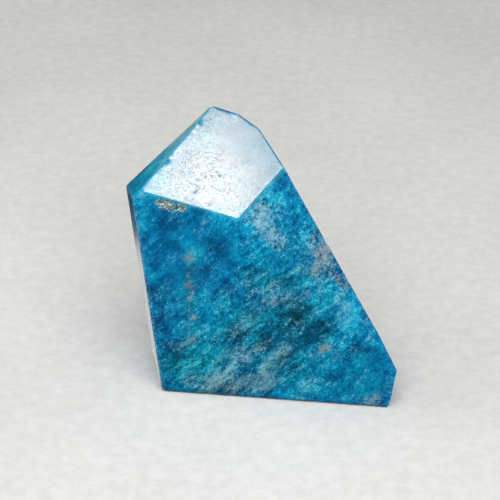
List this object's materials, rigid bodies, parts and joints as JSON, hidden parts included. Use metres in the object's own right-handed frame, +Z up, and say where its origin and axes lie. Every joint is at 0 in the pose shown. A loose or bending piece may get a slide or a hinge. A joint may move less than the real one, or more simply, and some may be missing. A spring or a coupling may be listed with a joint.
{
  "type": "polished blue apatite freeform",
  "caption": "Polished freeform of blue apatite, a leaning slab ground into flat faces with softly rounded edges, standing on a flat foot.",
  "frame": {"origin": "middle of the bounding box, at the level of the flat foot", "axes": "+X to the right along the front edge of the foot and the longest extent, +Y to the back and the shortest extent, +Z up; the large front face looks along -Y"},
  "size_m": [0.07, 0.0306, 0.064],
  "materials": {
    "blue_apatite": "polished, deep blue to teal with pale grey and rust clouds"
  },
  "bodies": {
    "root": {"apatite_stone": "blue_apatite"}
  },
  "joints": []
}
